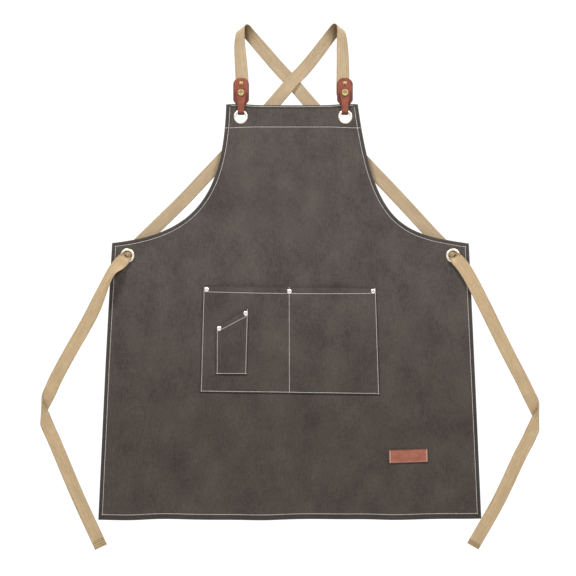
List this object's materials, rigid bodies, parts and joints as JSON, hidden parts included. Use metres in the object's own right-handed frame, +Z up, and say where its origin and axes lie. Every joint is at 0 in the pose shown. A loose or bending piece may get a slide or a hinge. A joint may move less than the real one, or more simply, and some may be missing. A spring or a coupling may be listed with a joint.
{
  "type": "cross-back bib apron",
  "caption": "Canvas bib apron with cross-back webbing shoulder straps on snap leather tabs, riveted pockets, eyelets, side ties and a blank leather label.",
  "frame": {"origin": "midway between the two shoulder loops, at the height where they bear on the pegs that carry the apron", "axes": "+Z up, -Y out of the apron's front, +X to the viewer's right"},
  "size_m": [0.9736, 0.0556, 1.0208],
  "materials": {
    "canvas": "dark grey-brown cotton canvas with a fine vertical weave",
    "webbing": "beige ribbed cotton webbing",
    "tab_leather": "reddish-brown vegetable-tanned leather, satin",
    "label_leather": "lighter tan leather, matt",
    "eyelet_brass": "pale polished brass",
    "snap_brass": "warm polished brass",
    "rivet_nickel": "bright nickel plate",
    "thread": "off-white contrast sewing thread"
  },
  "bodies": {
    "apron": {"canvas_panel": "canvas", "main_pocket": "canvas", "pen_pocket": "canvas", "leather_label": "label_leather", "bib_left_eyelet": "eyelet_brass", "bib_left_washer": "eyelet_brass", "bib_right_eyelet": "eyelet_brass", "bib_right_washer": "eyelet_brass", "side_left_eyelet": "eyelet_brass", "side_left_washer": "eyelet_brass", "side_right_eyelet": "eyelet_brass", "side_right_washer": "eyelet_brass", "pocket_left_rivet": "rivet_nickel", "pocket_left_burr": "rivet_nickel", "pocket_middle_rivet": "rivet_nickel", "pocket_middle_burr": "rivet_nickel", "pocket_right_rivet": "rivet_nickel", "pocket_right_burr": "rivet_nickel", "pen_low_rivet": "rivet_nickel", "pen_low_burr": "rivet_nickel", "pen_high_rivet": "rivet_nickel", "pen_high_burr": "rivet_nickel", "left_shoulder_strap": "webbing", "right_shoulder_strap": "webbing"},
    "left_tab": {"left_tab_paddle": "tab_leather", "left_tab_rivet": "snap_brass", "left_tab_burr": "snap_brass", "left_snap_stud": "snap_brass", "left_snap_post": "snap_brass", "left_strap_end": "webbing"},
    "left_tongue": {"left_tab_tongue": "tab_leather", "left_snap_cap": "snap_brass", "left_snap_socket": "snap_brass"},
    "left_tie": {"left_tie": "webbing"},
    "right_tab": {"right_tab_paddle": "tab_leather", "right_tab_rivet": "snap_brass", "right_tab_burr": "snap_brass", "right_snap_stud": "snap_brass", "right_snap_post": "snap_brass", "right_strap_end": "webbing"},
    "right_tongue": {"right_tab_tongue": "tab_leather", "right_snap_cap": "snap_brass", "right_snap_socket": "snap_brass"},
    "right_tie": {"right_tie": "webbing"}
  },
  "joints": [
    {"name": "left_tab_swivel", "type": "hinge", "parent": "apron", "child": "left_tab", "pos_m": [-0.1, 0, -0.177], "axis": [0, 1, 0], "range_deg": [-12, 12]},
    {"name": "left_snap_flap", "type": "hinge", "parent": "left_tab", "child": "left_tongue", "pos_m": [-0.0993, -0.0034, -0.167], "axis": [1, 0, 0], "range_deg": [0, 110]},
    {"name": "left_tie_swing", "type": "hinge", "parent": "apron", "child": "left_tie", "pos_m": [-0.321, 0, -0.4475], "axis": [0, 1, 0], "range_deg": [-15, 70]},
    {"name": "right_tab_swivel", "type": "hinge", "parent": "apron", "child": "right_tab", "pos_m": [0.104, 0, -0.177], "axis": [0, 1, 0], "range_deg": [-12, 12]},
    {"name": "right_snap_flap", "type": "hinge", "parent": "right_tab", "child": "right_tongue", "pos_m": [0.1033, -0.0034, -0.167], "axis": [1, 0, 0], "range_deg": [0, 110]},
    {"name": "right_tie_swing", "type": "hinge", "parent": "apron", "child": "right_tie", "pos_m": [0.314, 0, -0.4475], "axis": [0, -1, 0], "range_deg": [-15, 70]}
  ]
}
